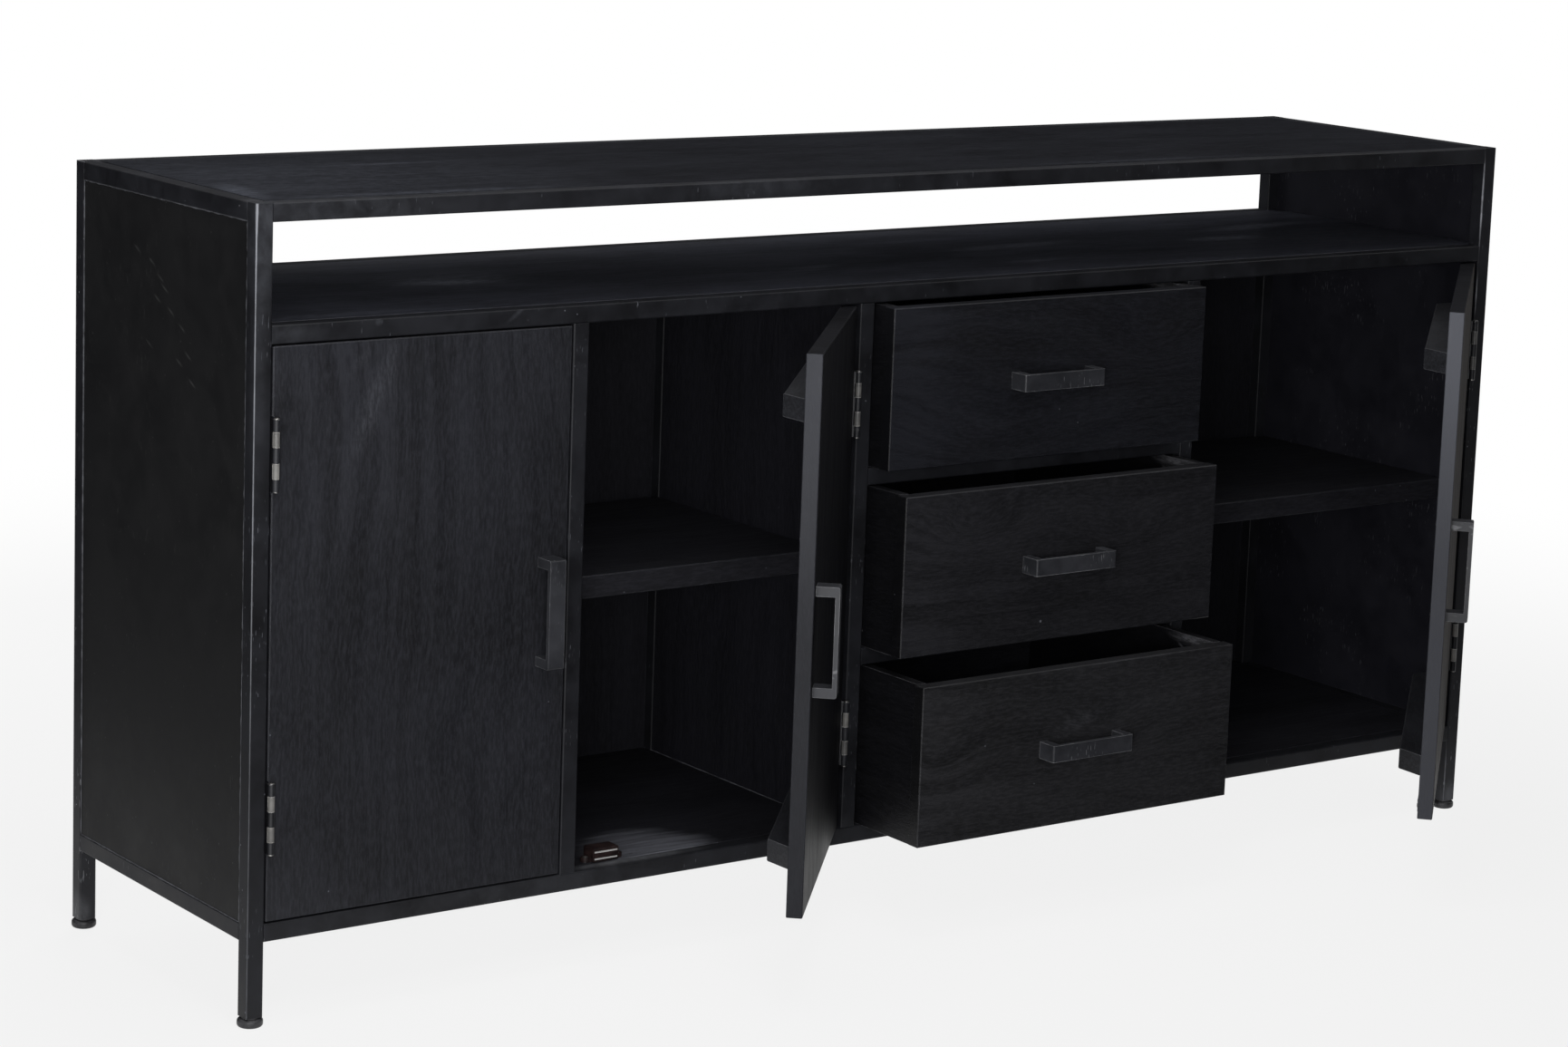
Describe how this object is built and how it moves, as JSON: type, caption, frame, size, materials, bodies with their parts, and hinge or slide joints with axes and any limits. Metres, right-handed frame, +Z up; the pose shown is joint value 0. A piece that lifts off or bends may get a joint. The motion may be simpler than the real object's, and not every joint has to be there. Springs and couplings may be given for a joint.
{
  "type": "sideboard buffet",
  "caption": "Low sideboard of welded square steel tube with black stained boards, an open shelf under the top, hinged doors and a bank of drawers.",
  "frame": {"origin": "On the floor, at the middle of the box that the piece fills as it stands, with two doors and three drawers partly open; the carcass's middle is at x = 0.", "axes": "+X along the front from left to right as seen from the front, +Y from the front to the back, +Z up"},
  "size_m": [1.808, 0.7553, 0.88],
  "materials": {
    "frame_steel": "black paint, satin, worn to grey metal along the edges",
    "top_wood": "black stained boards with open grain",
    "board_wood": "black stained board, scuffed",
    "shelf_wood": "black stained board with a worn front edge",
    "door_wood": "black stained wood with upright grain",
    "batten_wood": "black stained wood",
    "drawer_front_wood": "black stained wood with level figured grain",
    "drawer_wood": "black stained wood, plain",
    "side_sheet": "warm black paint, satin",
    "back_sheet": "black stained thin board",
    "hinge_steel": "black paint worn to bright steel",
    "hinge_pin_steel": "worn steel",
    "fitting_steel": "thin paint worn to bright steel",
    "handle_steel": "satin grey black paint on bent steel",
    "bare_steel": "bare steel",
    "catch_plastic": "brown moulded plastic",
    "glide_plastic": "grey moulded plastic"
  },
  "bodies": {
    "carcass": {"post_front_left": "frame_steel", "post_front_right": "frame_steel", "post_back_left": "frame_steel", "post_back_right": "frame_steel", "top_rail_front": "frame_steel", "top_rail_back": "frame_steel", "top_rail_left": "frame_steel", "top_rail_right": "frame_steel", "bottom_rail_front": "frame_steel", "bottom_rail_back": "frame_steel", "bottom_rail_left": "frame_steel", "bottom_rail_right": "frame_steel", "deck_rail_front": "frame_steel", "deck_rail_back": "frame_steel", "front_stiles": "frame_steel", "back_stiles": "frame_steel", "drawer_rails": "frame_steel", "top_board": "top_wood", "deck_board": "board_wood", "floor_board": "board_wood", "side_sheet_left": "side_sheet", "side_sheet_right": "side_sheet", "back_sheets": "back_sheet", "partition_left": "board_wood", "partition_right": "board_wood", "shelf_left": "shelf_wood", "shelf_right": "shelf_wood", "drawer_runners": "drawer_wood", "catch_housings": "catch_plastic", "catch_poles": "bare_steel", "hinge_frame_leaves": "hinge_steel", "hinge_pins": "hinge_pin_steel", "foot_glides": "glide_plastic"},
    "door_left": {"door_left_panel": "door_wood", "door_left_battens": "batten_wood", "door_left_handle": "handle_steel", "door_left_fittings": "fitting_steel"},
    "door_middle": {"door_middle_panel": "door_wood", "door_middle_battens": "batten_wood", "door_middle_handle": "handle_steel", "door_middle_fittings": "fitting_steel"},
    "door_right": {"door_right_panel": "door_wood", "door_right_battens": "batten_wood", "door_right_handle": "handle_steel", "door_right_fittings": "fitting_steel"},
    "drawer_top": {"drawer_top_front": "drawer_front_wood", "drawer_top_sides": "drawer_wood", "drawer_top_back": "drawer_wood", "drawer_top_base": "drawer_wood", "drawer_top_handle": "handle_steel"},
    "drawer_middle": {"drawer_middle_front": "drawer_front_wood", "drawer_middle_sides": "drawer_wood", "drawer_middle_back": "drawer_wood", "drawer_middle_base": "drawer_wood", "drawer_middle_handle": "handle_steel"},
    "drawer_bottom": {"drawer_bottom_front": "drawer_front_wood", "drawer_bottom_sides": "drawer_wood", "drawer_bottom_back": "drawer_wood", "drawer_bottom_base": "drawer_wood", "drawer_bottom_handle": "handle_steel"}
  },
  "joints": [
    {"name": "door_left_hinge", "type": "hinge", "parent": "carcass", "child": "door_left", "pos_m": [-0.8764, -0.05193, 0.423], "axis": [0, 0, -1], "range_deg": [0, 180]},
    {"name": "door_middle_hinge", "type": "hinge", "parent": "carcass", "child": "door_middle", "pos_m": [-0.1236, -0.05193, 0.423], "axis": [0, 0, 1], "range_deg": [-47.6, 42.4]},
    {"name": "door_right_hinge", "type": "hinge", "parent": "carcass", "child": "door_right", "pos_m": [0.8764, -0.05193, 0.423], "axis": [0, 0, 1], "range_deg": [-42.8, 137.2]},
    {"name": "drawer_top_slide", "type": "slide", "parent": "carcass", "child": "drawer_top", "axis": [0, -1, 0], "range_m": [-0.035, 0.255]},
    {"name": "drawer_middle_slide", "type": "slide", "parent": "carcass", "child": "drawer_middle", "axis": [0, -1, 0], "range_m": [-0.071, 0.219]},
    {"name": "drawer_bottom_slide", "type": "slide", "parent": "carcass", "child": "drawer_bottom", "axis": [0, -1, 0], "range_m": [-0.117, 0.173]}
  ]
}
